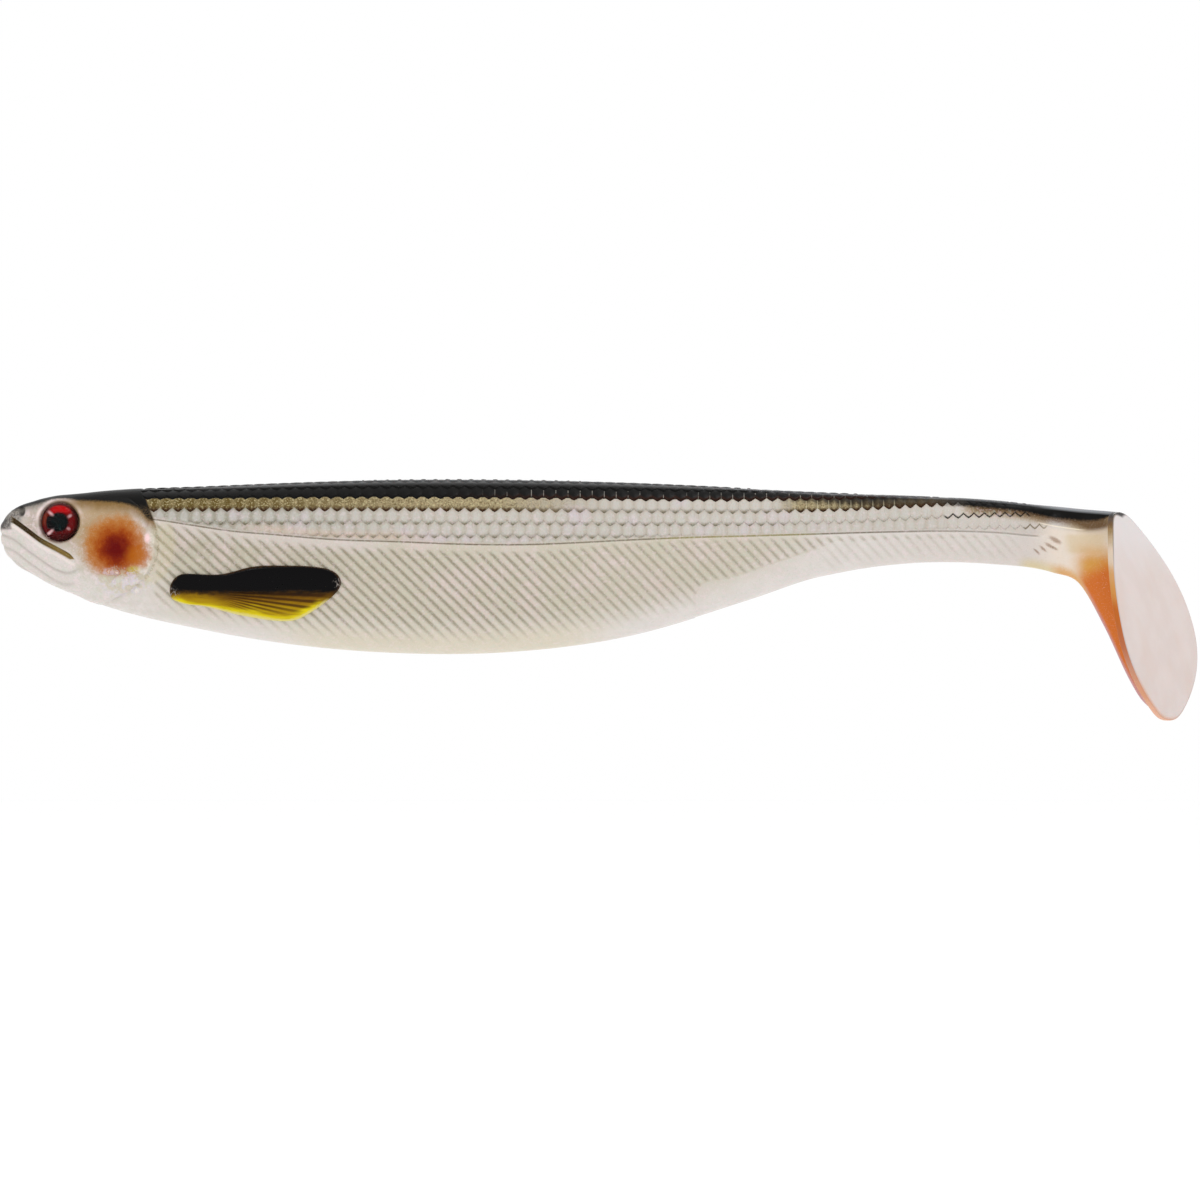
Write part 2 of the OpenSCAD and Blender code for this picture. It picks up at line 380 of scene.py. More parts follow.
def surface_fields(grid, arc):
    """What the relief and the paint are worked out from, at each point of the skin."""
    x, z = grid[..., 0], grid[..., 2]
    v = z - smooth_line(ROW_DRIFT, x)
    # Above the first row, rows follow the surface over the back and not the height.
    knee = FIRST_ROW - 0.6
    for i in range(len(grid)):
        for side in (slice(0, COLUMNS // 2 + 1), slice(COLUMNS, COLUMNS // 2 - 1, -1)):
            height, along = v[i, side], arc[i, side]
            above = height > knee
            if above.any() and not above.all():
                pair = np.argmax(~above) - [0, 1]
                at_knee = np.interp(knee, height[pair], along[pair])
                v[i, side] = np.where(above, knee + (at_knee - along), height)
    from_nose = np.clip(x, 0, None)
    return SimpleNamespace(
        v=v,
        lateral=z - smooth_line(LATERAL_LINE, x),
        belly=z - smooth_line(BELLY, from_nose),
        panel=z - np.interp(x, *np.array(PANEL_END).T),
        gill=x - smooth_line(GILL_EDGE, z),
        ink=z - smooth_line(INK_EDGE, x),
        mouth=(z - smooth_line(MOUTH, x)) * MOUTH_SLANT,
        jaw=(z - smooth_line(JAW, x)) * MOUTH_SLANT,
        nape=x - NAPE[0] - (z - NAPE[1]) * NAPE[2],
        crest=smooth_line(BACK, from_nose) - z)


def rib_strength(x, at):
    """How strongly ribs show: full on the flank panel, faint behind it."""
    below_line = ease(at.lateral - ease(x, 54, 36) * 0.7 - ease(x, 98, 114) * 0.7, -0.9, -2.0)
    behind_gill = ease(x, 27.6, 29.2)
    off_belly = ease(at.belly, 1.2, 6.5)
    panel = ease(at.panel, -0.5, 0.4)
    soft = 1 - ease(x, 88, 116) * 0.3
    faint = ease(x, 149, 153) * ease(x, 189, 184) * ease(at.belly, 0.4, 2.4) * 0.21
    return below_line * behind_gill * high(off_belly * panel * soft, faint * (1 - panel * off_belly))


def scale_strength(x, at):
    """How strongly scales show: above the lateral line, behind the gill cover."""
    return ease(at.lateral, 0.05, 0.7) * ease(at.nape, -0.5, 0.1) * ease(x, 196, 188)


def groove(distance, half_width):
    """1 in the middle of a groove, easing to 0 at its sides."""
    return ease(size(distance), half_width, 0.0)


# Heights of the moulded detail, in millimetres.
SCALE_DEPTH = 0.26
RIB_DEPTH = 0.19
LINE_DEPTH = 0.16
PANEL_STEP = 0.12
COVER_HEIGHT = 0.36
CREASE_DEPTH = 0.12
CRINKLE = 0.2
MOUTH_DEPTH = 0.5
UPPER_LIP, LOWER_LIP = 0.2, 0.16
JAW_SWELL = 0.14
SOCKET_RIM, SOCKET_DEPTH = 0.2, 1.8
NOSTRIL_DEPTH = 0.45


def relief(x, z, at):
    """The height of the moulded detail above the smooth casting, in millimetres."""
    number, since, left, across = scale_cell(x, at.v)
    scales = (0.35 + 0.65 * low(since, 1.0)) * ease(left, 0.0, 0.12) * (1 - 0.35 * ease(across, 0.8, 1.0))
    faint = high(ease(x, 138, 150) * (1 - is_less(number, 1.5)) * 0.55, worn(x, number))
    h = SCALE_DEPTH * (scales - 1) * scale_strength(x, at) * (1 - faint)
    h -= RIB_DEPTH * ease(rib_distance(x, z), 0.5, 0.04) * rib_strength(x, at)
    h -= LINE_DEPTH * groove(at.lateral, 0.36) * within(x, 27.5, 190, 1.5)
    # The flank's panel stands a little above the smooth belly behind it.
    h -= PANEL_STEP * ease(at.panel, 0.3, -0.3) * within(x, 127, 148, 6) * ease(at.lateral, -1, -2)

    # The gill cover stands out, with a crease behind it and a plate line in front.
    h += COVER_HEIGHT * ease(at.gill, 0.3, -0.2) * ease(at.gill, -9, -1.2) * within(z, -12, 4.5, 2)
    h -= CREASE_DEPTH * groove(at.gill - 0.3, 0.8) * within(z, -12, 4, 2)
    h -= CREASE_DEPTH * groove(at.gill + 5.4, 0.6) * within(z, -8.5, -6, 2)
    # The throat below it is crinkled.
    crinkle = np.sin(x * 3.4 + 2.0 * np.sin(z * 1.9)) * np.sin(z * 4.1 - x * 0.9 + 1.6 * np.sin(x * 1.3))
    h += CRINKLE * crinkle * ease(reach(x, z, THROAT, 1.7), 6.5, 2.5)

    # Mouth, lips and the lines along the jaw.
    mouth = within(x, 1.9, 13.2, 0.5)
    h -= MOUTH_DEPTH * ease(size(at.mouth) + ease(x, 12.4, 13.9) * 0.5, 0.5, 0.2) * mouth
    h += UPPER_LIP * groove(at.mouth - 0.95, 0.75) * mouth
    h += LOWER_LIP * groove(at.mouth + 1.05, 0.8) * mouth
    for drop, depth in JAW_LINES:
        h -= 0.7 * depth * groove(at.jaw + drop, 0.5) * within(x, -1, 13 - drop * 0.5, 2.5)
    h += JAW_SWELL * groove(at.jaw - 1.2, 1.3) * within(x, 0, 11, 2)

    # The eye's socket has a raised rim.
    socket = reach(x, z, EYE)
    h += SOCKET_RIM * ease(socket, 5.4, 4.0) - SOCKET_DEPTH * ease(socket, 3.74, 3.42)
    h -= NOSTRIL_DEPTH * ease(reach(x, z, NOSTRIL, 0.6), 0.75, 0.1)

    # Small feather marks end the lateral line.
    for along, down, length, tilt in FEATHERS:
        dx, dz = x - along, z - down
        bar = root(low(high(size(dx + dz * tilt) - length, 0.0) ** 2 + (dz - dx * tilt) ** 2, 9.0))
        h -= LINE_DEPTH * ease(bar, 0.42, 0.1)
    return h


# ---- meshes ----
def add(name, data):
    """A new object in the scene."""
    thing = bpy.data.objects.new(name, data)
    bpy.context.scene.collection.objects.link(thing)
    return thing


def set_tail(points):
    """Turns the tail about the wrist to its resting set, bending smoothly over a short length."""
    turned = ease(points[..., 0], WRIST - WRIST_BEND, WRIST + WRIST_BEND) * TAIL_SET
    x, y = points[..., 0] - WRIST, points[..., 1]
    return np.stack((
        WRIST + x * np.cos(turned) - y * np.sin(turned),
        x * np.sin(turned) + y * np.cos(turned),
        points[..., 2]), -1)


def facing_out(points, faces):
    """The same faces, turned over if the closed surface they make is inside out."""
    a, b, c, d = (points[np.array(faces)[:, k]] for k in range(4))
    volume = (np.cross(b - a, c - a) * a).sum() + (np.cross(c - a, d - a) * a).sum()
    return faces if volume > 0 else [face[::-1] for face in faces]


def new_piece(name, points, faces, material, fields=None, normals=None):
    """A mesh object from millimetre points and faces. Each field has a number or a vector per point."""
    if normals is None:
        faces = facing_out(points, faces)
    mesh = bpy.data.meshes.new(name)
    mesh.from_pydata((points * MM).tolist(), [], faces)
    for key, values in (fields or {}).items():
        kind, prop = ("FLOAT_VECTOR", "vector") if values.ndim == 2 else ("FLOAT", "value")
        attribute = mesh.attributes.new(key, kind, "POINT")
        attribute.data.foreach_set(prop, values.astype(np.float32).ravel())
    mesh.polygons.foreach_set("use_smooth", [True] * len(mesh.polygons))
    mesh.validate()
    if normals is not None:
        mesh.normals_split_custom_set_from_vertices(normals.tolist())
    mesh.materials.append(material)
    return add(name, mesh)


def grid_faces(rows, columns):
    """Quads of a grid of points whose last column joins its first."""
    r, c = np.mgrid[0:rows - 1, 0:columns]
    here, beside = r * columns + c, r * columns + (c + 1) % columns
    return np.stack((here, beside, beside + columns, here + columns), -1).reshape(-1, 4).tolist()


def make_skin(material):
    """The casting in five lengths. Each seam lies where a length is rigid, so that it never opens."""
    places, grid, arc = skin_grid()
    at = surface_fields(grid, arc)
    height = relief(grid[..., 0], grid[..., 2], at)
    shaped = set_tail(grid + normals_of(grid) * height[..., None])
    shaped[0] = shaped[0].mean(axis=0)
    smooth = normals_of(shaped)
    cuts = [0, *np.searchsorted(places, SEAMS), len(places) - 1]
    names = ("head_skin", "front_skin", "middle_skin", "rear_skin", "tail_skin")
    pieces = {}
    for name, first, last in zip(names, cuts, cuts[1:]):
        rows = slice(first, last + 1)
        flat = {key: value[rows, :-1].reshape(-1) for key, value in vars(at).items()}
        flat["straight"] = grid[rows, :-1].reshape(-1, 3)
        faces = grid_faces(last + 1 - first, COLUMNS)
        points = shaped[rows, :-1].reshape(-1, 3)
        pieces[name] = new_piece(name, points, faces, material, flat, smooth[rows, :-1].reshape(-1, 3))
    return pieces


# ---- painting ----
def rgb(color):
    """A colour given as sRGB out of 255, as the shader wants it."""
    shares = [c / 255 for c in color]
    return (*(c / 12.92 if c <= 0.04045 else ((c + 0.055) / 1.055) ** 2.4 for c in shares), 1.0)


class Paint:
    """A material that is built up in layers of colour over a Principled surface."""

    def __init__(self, name, base, roughness, **settings):
        self.material = bpy.data.materials.new(name)
        self.material.use_nodes = True
        self.tree = self.material.node_tree
        self.surface = self.tree.nodes["Principled BSDF"]
        self.color = rgb(base)
        self.set("Roughness", roughness)
        for name, value in settings.items():
            self.set(name.replace("_", " "), value)

    def set(self, name, value):
        put(self.tree, self.surface.inputs[name], value)

    def attribute(self, name):
        node = self.tree.nodes.new("ShaderNodeAttribute")
        node.attribute_name = name
        return node.outputs

    def number(self, name):
        return Field(self.tree, self.attribute(name)["Fac"])

    def place(self, name):
        """The parts of a vector that the surface carries, such as its own coordinates."""
        self.vector = self.attribute(name)["Vector"]
        parts = new_node(self.tree, "SeparateXYZ", {0: self.vector})
        return [Field(self.tree, part) for part in parts.outputs]

    def noise(self, scale, detail, stretch=(1, 1, 1)):
        """Smooth noise from 0 to 1, with scale features per millimetre."""
        mapping = new_node(self.tree, "Mapping", {"Vector": self.vector, "Scale": stretch})
        node = new_node(self.tree, "TexNoise",
                        {"Vector": mapping.outputs["Vector"], "Scale": scale, "Detail": detail})
        return Field(self.tree, node.outputs["Fac"])

    def layer(self, color, cover):
        """Lays color over what is there, where cover is 1."""
        node = new_node(self.tree, "Mix", {0: cover, 6: self.color, 7: rgb(color)})
        node.data_type = "RGBA"
        self.color = node.outputs[2]

    def bump(self, height):
        """Fine relief, with height in millimetres."""
        node = new_node(self.tree, "Bump", {"Distance": MM, "Height": height})
        self.set("Normal", node.outputs["Normal"])

    def done(self):
        self.set("Base Color", self.color)
        return self.material


def paint_flank(lay, x, z, at, grain, cloud, tint):
    """The pearl flank, greyer and warmer to the front, greyer in the ribs with painted shade in their
    grooves, and whiter at the belly.
    """
    flank = ease(at.belly + ease(x, 60, 30) * 2.5, 1.0, 8.5) * ease(x, 24, 34) * ease(x, 162, 132)
    lay((190, 182, 166), flank * (0.7 + cloud * 0.5))
    lay((172, 163, 146), flank * ease(at.lateral, -13, -1) * ease(x, 92, 34) * 0.75)
    lay((203, 188, 182), flank * ease(tint, 0.5, 0.68) * 0.6)
    lay((188, 184, 164), flank * ease(tint, 0.48, 0.32) * 0.45)
    cream = ease(at.belly, 6.5, 2.0) * within(x, 62, 100, 18)
    lay((196, 184, 142), cream * 0.4)
    top = ease(at.lateral, -3.4, -1.2) * within(x, 30, 66, 8) * ease(at.gill, 0.3, 1.5)
    lay((202, 192, 188), top * 0.6)
    distance = rib_distance(x, z)
    ribs = rib_strength(x, at)
    # Painted shade in each rib groove: a soft darker band each side and a darker core.
    lay((170, 162, 142), ease(distance, 0.72, 0.1) * ribs * 0.5)
    lay((126, 118, 98), ease(distance, 0.4, 0.04) * ribs * (0.38 + grain * 0.4))
    step = groove(at.panel - 0.05, 0.35) * within(x, 127, 147, 3)
    lay((186, 178, 160), step * 0.4)


def paint_scales(lay, x, at, cell, grain, cloud, stripe, tint):
    """Silver scales above the lateral line, with an olive row under the black back."""
    number, since, left, across = cell
    scaled = scale_strength(x, at)
    clear = ease(x, 177, 170)
    silver = scaled * is_less(at.v, 6.4) * (clear * 0.55 + 0.45)
    lay((176, 168, 157), silver * (0.7 + cloud * 0.5))
    lay((140, 136, 122), silver * ease(x, 84, 38) * 0.82)
    lay((188, 180, 170), silver * ease(x, 106, 132) * 0.55)
    # Painted highlight: each scale's middle is lighter.
    lay((192, 190, 186), silver * within(since, 0.35, 0.85, 0.3) * ease(across, 0.9, 0.3) * 0.5)
    lay((200, 186, 196), silver * ease(tint, 0.54, 0.7) * 0.45)
    lay((158, 148, 134), silver * ease(stripe, 0.5, 0.75) * 0.35)
    lay((196, 172, 152), silver * within(x, 50, 72, 10) * ease(at.lateral, 2.4, 0.8) * 0.5)
    crisp = 1 - ease(x, 138, 150) * (1 - is_less(number, 1.5)) * 0.6
    lay((154, 147, 134), silver * ease(across, 0.8, 1.0) * (grain * 0.4 + 0.05) * crisp)
    edge = ease(left, 0.34, 0.04) * ease(across, 0.8, 0.05)
    lay((108, 101, 76), silver * edge * clear * crisp * 0.8)

    olive = is_less(size(number - 1), 0.5) * scaled
    here = high(ease(x, 114, 88), within(x, 147, 171, 6))
    front = ease(x, 84, 36)
    lay((148, 133, 98), olive * here * 0.92)
    lay((106, 91, 48), olive * front * 0.65)
    centre = ease(across, 0.85, 0.25) * within(since, 0.25, 0.9, 0.25)
    lay((84, 66, 16), olive * centre * (front * 0.8 + here * 0.12))
    lay((186, 174, 134), olive * here * ease(grain, 0.53, 0.66) * 0.75)
    lay((84, 70, 36), olive * here * ease(grain, 0.47, 0.34) * 0.7)
    # Behind the middle this row darkens from the back downwards, with pale gaps between its scales.
    sunk = ease(since - ease(x, 144, 169) * 1.15, 0.45, -0.15) * olive
    lay((46, 34, 18), sunk * ease(x, 141, 147) * ease(x, 180, 175) * 0.9)
    lay((196, 184, 152), olive * ease(across, 0.85, 0.97) * within(x, 146, 163, 4) * 0.6)
    tip = ease(left, 0.38, 0.08) * ease(across, 1.0, 0.3)
    lay((56, 32, 10), olive * tip * (here * 0.9 + 0.1))
    line = ease(size(at.lateral), 0.22, 0.07) * within(x, 27.9, 190, 1.5)
    lay((100, 88, 70), line * (0.6 + cloud * 0.4) * (1 - ease(x, 158, 184) * 0.4))
    lay((176, 168, 96), line * within(x, 124, 146, 6) * 0.35)


def paint_back(lay, x, at, cell, grain, streak):
    """The black back. It ends at the first row of scales, or at a soft edge on the head and the tail.

    Gives how black each point is."""
    number, since, left, across = cell
    ragged = at.ink + (grain - 0.5) * 0.8
    on_head = ease(at.nape, 0.5, 0.0)
    lay((118, 88, 40), ease(ragged + (streak - 0.5), -2.5, -0.1) * on_head * ease(x, 8, 15) * 0.9)
    lay((112, 106, 98), ease(ragged, -1.5, 0.1) * on_head * within(x, 3, 7, 2.5) * 0.8)
    lay((160, 138, 102), ease(ragged, -2.2, -0.5) * within(x, 178.4, 191, 3) * 0.8)
    near_paddle = ease(x, 197, 204)
    lay((164, 142, 104), ease(ragged + near_paddle * 2.2, -3.0, -0.6) * ease(x, 194, 199) * 0.85)
    brown = ease(ragged + near_paddle * 1.5, -1.7, 0.0) * ease(x, 175.5, 180)
    lay((88, 62, 34), brown * 0.92)
    # Painted highlight: a thin cream line along the stem near the web.
    lay((240, 230, 208), groove(at.ink + 1.5 - (196 - x) * 0.03, 0.2) * within(x, 192, 199, 2) * 0.7)
    soft_ink = ease(at.ink + (grain - 0.5) * 0.7, -0.35, 0.4)
    on_tail = ease(x, 169, 178)
    row_back = is_less(number, 0.5) * ease(x, 181, 173)
    straight = high(ease(at.v, 6.2, 6.5) * ease(x, 60, 44) * ease(x, 12, 18),
                    ease(at.v, 6.42, 6.58) * ease(x, 150, 120))
    shade = ease(x, 142, 162) * ease(x, 178.5, 175) * is_less(number, 1.5) * ease(since, 0.8, 0.0)
    behind = high(high(row_back, shade) * ease(at.nape, -0.3, 0.1), straight)
    black = high(high(on_head, on_tail) * soft_ink, behind)
    lay((11, 10, 9), black)
    fringe = on_head * black * ease(at.v, 5.2, 3.4) * ease(x, 19, 25)
    lay((88, 70, 44), fringe * ease(grain, 0.36, 0.62) * 0.75)
    # Painted sheen: a grey highlight along the crest of the black back.
    lay((104, 104, 105), ease(at.crest, 1.1, 0.0) * within(x, 48, 118, 20) * 0.62)
    tip = row_back * (1 - is_less(number, -0.5)) * ease(left, 0.42, 0.1) * ease(x, 78, 106)
    lay((52, 26, 14), tip * 0.6)
    # Painted highlights: thin pale glints between the black row's scales.
    painted_glint = row_back * ease(across, 0.9, 0.99) * ease(x, 84, 96) * ease(streak, 0.42, 0.62)
    lay((150, 146, 138), painted_glint * within(at.v, 6.2, 8.6, 0.6) * 0.75)
    # Painted highlights: pale grey along the top of the stem and the tail, in place of light from above.
    lay((122, 123, 126), ease(at.crest, 0.6, 0.1) * within(x, 140, 192, 16) * 0.55)
    lay((150, 152, 156), ease(at.crest, 0.8, 0.2) * within(x, 195, 207, 6) * 0.75)
    # Two rows' edges show as zigzags at the end of the scales.
    for row, color, start, end, full, most in ((2, (30, 24, 14), 173.4, 188.6, 0.1, 0.95),
                                               (3, (116, 104, 76), 188, 192, 0.08, 0.85)):
        zigzag = is_less(size(number - row), 0.5) * ease(left, 0.2, full) * within(x, start, end, 0.6)
        lay(color, zigzag * most)
    return black


def paint_head(lay, x, z, at, grain, cloud, crumple):
    """Mottled nose, mouth, nostril, eye rim, jaw lines and the blush on the gill cover.

    Gives how deep the blush is at each point."""
    on_cover = ease(at.gill, 0.3, -0.5)
    lay((196, 189, 181), ease(at.nape, 0.3, -0.3) * ease(x, 32, 26) * ease(crumple, 0.35, 0.6) * 0.7)
    face = ease(reach(x, z, (9.5, 1.5), 1.15), 8.0, 4.0)
    lay((166, 150, 138), face * ease(at.mouth, 0.2, 0.8) * 0.75)
    mottle = crumple + (grain - 0.5) * 0.5
    lay((226, 208, 212), on_cover * ease(mottle, 0.52, 0.64) * 0.42)
    lay((182, 184, 168), on_cover * ease(mottle, 0.47, 0.34) * 0.42)
    upper = high(ease(at.mouth, 0.1, 0.5), ease(x, 2.3, 1.7) * ease(z, 0.1, 0.8))
    nose = ease(reach(x, z, (0.4, 3.0)) + (grain - 0.5) * 1.2, 4.2, 2.6) * upper
    lay((86, 82, 78), nose * (0.5 + ease(grain, 0.35, 0.62) * 0.5))
    front = ease(reach(x, z, (-0.6, 2.2), 0.8), 2.0, 0.9)
    lay((36, 32, 32), front * upper * 0.85)
    lay((20, 16, 17), ease(reach(x, z, NOSTRIL, 0.6), 0.8, 0.35))
    # Painted highlight on the upper part of the eye socket's raised rim.
    lay((224, 208, 205), groove(reach(x, z, EYE) - 4.25, 0.6) * ease(z, 1.0, 3.4) * 0.85)
    # Painted shade in the socket's gap around the eye.
    lay((96, 62, 52), groove(reach(x, z, EYE) - 3.6, 0.55) * 0.75)

    ragged = (grain - 0.5) * 1.3 + (crumple - 0.5) * 2.2
    haze = reach(x, z, (19.4, 0.6), 0.8) + ragged
    lay((160, 132, 90), ease(haze, 9.0, 3.2) * 0.85 * on_cover)
    core = reach(x, z, BLUSH) + ragged
    low_edge = ease(z + ragged * 0.9, -8.9, -7.4)
    lay((172, 102, 16), ease(core, 7.2, 4.6) * on_cover * low_edge * 0.8)
    lay((156, 74, 4), ease(core, 5.8, 2.8) * on_cover * low_edge * 0.92)
    lay((130, 36, 0), ease(core, 4.6, 1.6) * on_cover * low_edge * 0.9)
    lay((94, 2, 0), ease(core, 3.5, 0.5) * on_cover)
    lay((168, 92, 10), ease(reach(x, z, (25.6, -4.4), 1.1) + ragged, 3.2, 1.0) * on_cover * 0.7)
    lay((176, 158, 50), ease(reach(x, z, (24.6, -7.0), 1.7), 1.8, 0.5) * 0.8)
    throat = ease(reach(x, z, THROAT, 1.6) + ragged, 6.5, 3.5) * ease(z + (grain - 0.5) * 2.0, -6.0, -7.6)
    # Painted shade in the crinkles' hollows, where the bump is low.
    lay((192, 180, 158), throat * ease(crumple, 0.5, 0.4) * 0.6)
    lay((206, 196, 208), throat * ease(crumple, 0.48, 0.54) * ease(crumple, 0.64, 0.56) * 0.6)
    lay((204, 208, 190), throat * ease(cloud, 0.52, 0.6) * 0.4)
    # Painted highlights on the crinkles' high points.
    lay((238, 228, 222), throat * ease(crumple, 0.6, 0.68) * 0.6)

    # The gill cover's rear edge: a painted highlight along its pale ridge, a broken line of painted shade in
    # the crease behind it, and a painted glint.
    lay((190, 180, 142), within(at.gill, 0.3, 3.0, 1.2) * within(z, -8.5, 0.5, 2) * 0.35)
    ridge = groove(at.gill + 0.5, 0.6) * within(z, -9.0, 1.2, 1)
    lay((222, 212, 194), ridge * ease(crumple, 0.4, 0.6) * 0.5)
    crease = groove(at.gill - 0.45, 0.4) * within(z, -8.5, 1.4, 1)
    lay((138, 124, 96), crease * ease(grain, 0.42, 0.62) * 0.55)
    # Painted glint on the gill cover's edge.
    lay((240, 206, 208), ease(reach(x, z, (27.1, -1.2), 0.6), 0.75, 0.2) * 0.85)

    for drop, depth in JAW_LINES:
        line = groove(at.jaw + drop, 0.42) * within(x, 0, 13 - drop * 0.5, 2.5)
        lay((166, 156, 150), line * (cloud * 0.8 + 0.2) * depth * 3.6)
    inside = within(x, 2.0, 13.4, 0.5)
    lay((226, 213, 209), groove(at.mouth + 0.9, 0.5) * inside * 0.7)
    mouth = ease(size(at.mouth) + ease(x, 12.6, 13.9) * 0.5, 0.56, 0.32) * inside
    lay((132, 106, 34), mouth * 0.95)
    lay((44, 30, 12), mouth * ease(x, 11.0, 5.0) * 0.9)
    lay((60, 42, 16), groove(at.mouth - 0.34, 0.2) * mouth * 0.7)
    return ease(core, 6.5, 3.5) * on_cover


def paint_tail(lay, x, z, at, grain, cloud, black):
    """Orange web, with a mauve free edge, and orange under the stem."""
    along = x + z * 0.2
    warm = ease(x, 188, 195) * (1 - black)
    lay((226, 210, 192), warm * ease(at.ink, -1.2, -2.4) * 0.6)
    lay((200, 180, 142), warm * within(along, 197.5, 203, 2.5) * within(z, -3.4, -1.0, 1.0) * 0.6)
    web = ease(along - (z + 7) * 0.35 + (cloud - 0.5) * 2.5 + (grain - 0.5), 194.5, 200.5)
    web = web * ease(z + (grain - 0.5) + (x - 202) * 0.12, -0.8, -5.8)
    lay((199, 142, 56), web * 0.95)
    lay((195, 101, 36), web * ease(z + (cloud - 0.5) * 3 + (204 - x) * 0.4, -4.2, -8.6) * 0.95)
    gap = paddle_x((PADDLE_TOP[1] - z) / PADDLE_HEIGHT) - PADDLE_THICKNESS - x
    # Painted shade: the web darkens towards the paddle, where the two meet.
    lay((150, 128, 96), ease(gap, 2.6, 0.2) * ease(z, -8, -3) * ease(x, 199, 203) * (1 - black) * 0.75)
    lay((206, 140, 60), ease(gap, 1.8, 0.2) * ease(z, -6, -10) * 0.6)
    free_edge = ease(at.belly, 2.6, 0.4) * ease(along, 195, 197.5) * ease(z, -8.5, -11)
    lay((184, 148, 156), free_edge * 0.8)
    under = ease(at.belly + (grain - 0.5) * 1.0, 2.4, 0.3)
    lay((204, 188, 142), under * within(x, 189, 199, 3) * 0.75)
    lay((206, 146, 84), under * within(x, 195.5, 200, 3.5) * 0.8)
    for along_feather, down, length, tilt in FEATHERS:
        mark = reach(x, z + (x - along_feather) * -tilt, (along_feather, down), 2.4) + (grain - 0.5) * 0.7
        lay((138, 104, 78), ease(mark, length + 0.5, length * 0.4) * 0.62)


def skin_material():
    paint = Paint("pearl_plastisol", (205, 199, 194), 0.34, Specular_IOR_Level=0.07, Coat_Weight=0.01,
                  Coat_Roughness=0.1, Subsurface_Weight=0.05, Subsurface_Scale=0.0012)
    lay = paint.layer
    x, _, z = paint.place("straight")
    names = ("v", "lateral", "belly", "panel", "gill", "nape", "ink", "mouth", "jaw", "crest")
    at = SimpleNamespace(**{name: paint.number(name) for name in names})
    grain = paint.noise(3.2, 3)
    cloud = paint.noise(0.3, 3)
    speck = paint.noise(7, 1)
    streak = paint.noise(0.9, 2, stretch=(1, 1, 0.15))
    stripe = paint.noise(3.4, 2, stretch=(1, 1, 0.12))
    tint = paint.noise(0.16, 2)
    crumple = paint.noise(0.75, 2)
    pastel = paint.noise(1.4, 2)
    cell = scale_cell(x, at.v)
    number, since, left, _ = cell

    lay((212, 206, 202), ease(cloud, 0.35, 0.7) * 0.7)
    lay((202, 194, 188), ease(x, 152, 172) * ease(x, 194, 186) * 0.6)
    paint_flank(lay, x, z, at, grain, cloud, tint)
    paint_scales(lay, x, at, cell, grain, cloud, stripe, tint)
    blush = paint_head(lay, x, z, at, grain, cloud, crumple)
    black = paint_back(lay, x, at, cell, grain, streak)
    paint_tail(lay, x, z, at, grain, cloud, black)
    pale = (1 - black) * (1 - blush * 0.9) * (1 - ease(at.v, 3.3, 3.9) * 0.7)
    off_cover = high(ease(at.gill, 0.4, 1.4), ease(z, -8, -10))
    plain = pale * ease(at.v, 3.8, 3.3) * ease(x, 190, 183) * off_cover
    lay((220, 202, 206), ease(pastel, 0.54, 0.68) * 0.28 * plain)
    lay((190, 196, 182), ease(pastel, 0.46, 0.32) * 0.28 * plain)
    lay((236, 232, 230), ease(speck, 0.6, 0.8) * 0.3 * pale)
    lay((156, 144, 128), ease(speck, 0.42, 0.2) * 0.35 * pale)

    edges = (low(since, 1.0) * 0.5 + 0.5) * ease(left, 0.0, 0.12)
    scales = edges * scale_strength(x, at) * (1 - worn(x, number))
    ribs = ease(rib_distance(x, z), 0.3, 0.0) * rib_strength(x, at)
    throat = ease(reach(x, z, THROAT, 1.6), 6.5, 2.5)
    paint.bump(scales * 0.11 - ribs * 0.06 + crumple * throat * 0.5 + grain * 0.022 + cloud * 0.08)
    paint.set("Roughness", 0.27 + grain * 0.14 + speck * 0.06)
    return paint.done()


# ---- paddle ----
def paddle_half_width(down):
    """Half its width, at a share of its height down from its top."""
    above = down < PADDLE_WIDEST
    share = np.abs(down - PADDLE_WIDEST) / np.where(above, PADDLE_WIDEST, 1 - PADDLE_WIDEST)
    power = np.where(above, PADDLE_SHOULDER, PADDLE_FOOT)
    power = power - (power - 0.5) * share ** 8  # round at the very ends
    return PADDLE_WIDTH / 2 * np.clip(1 - share ** 2, 0, 1) ** power


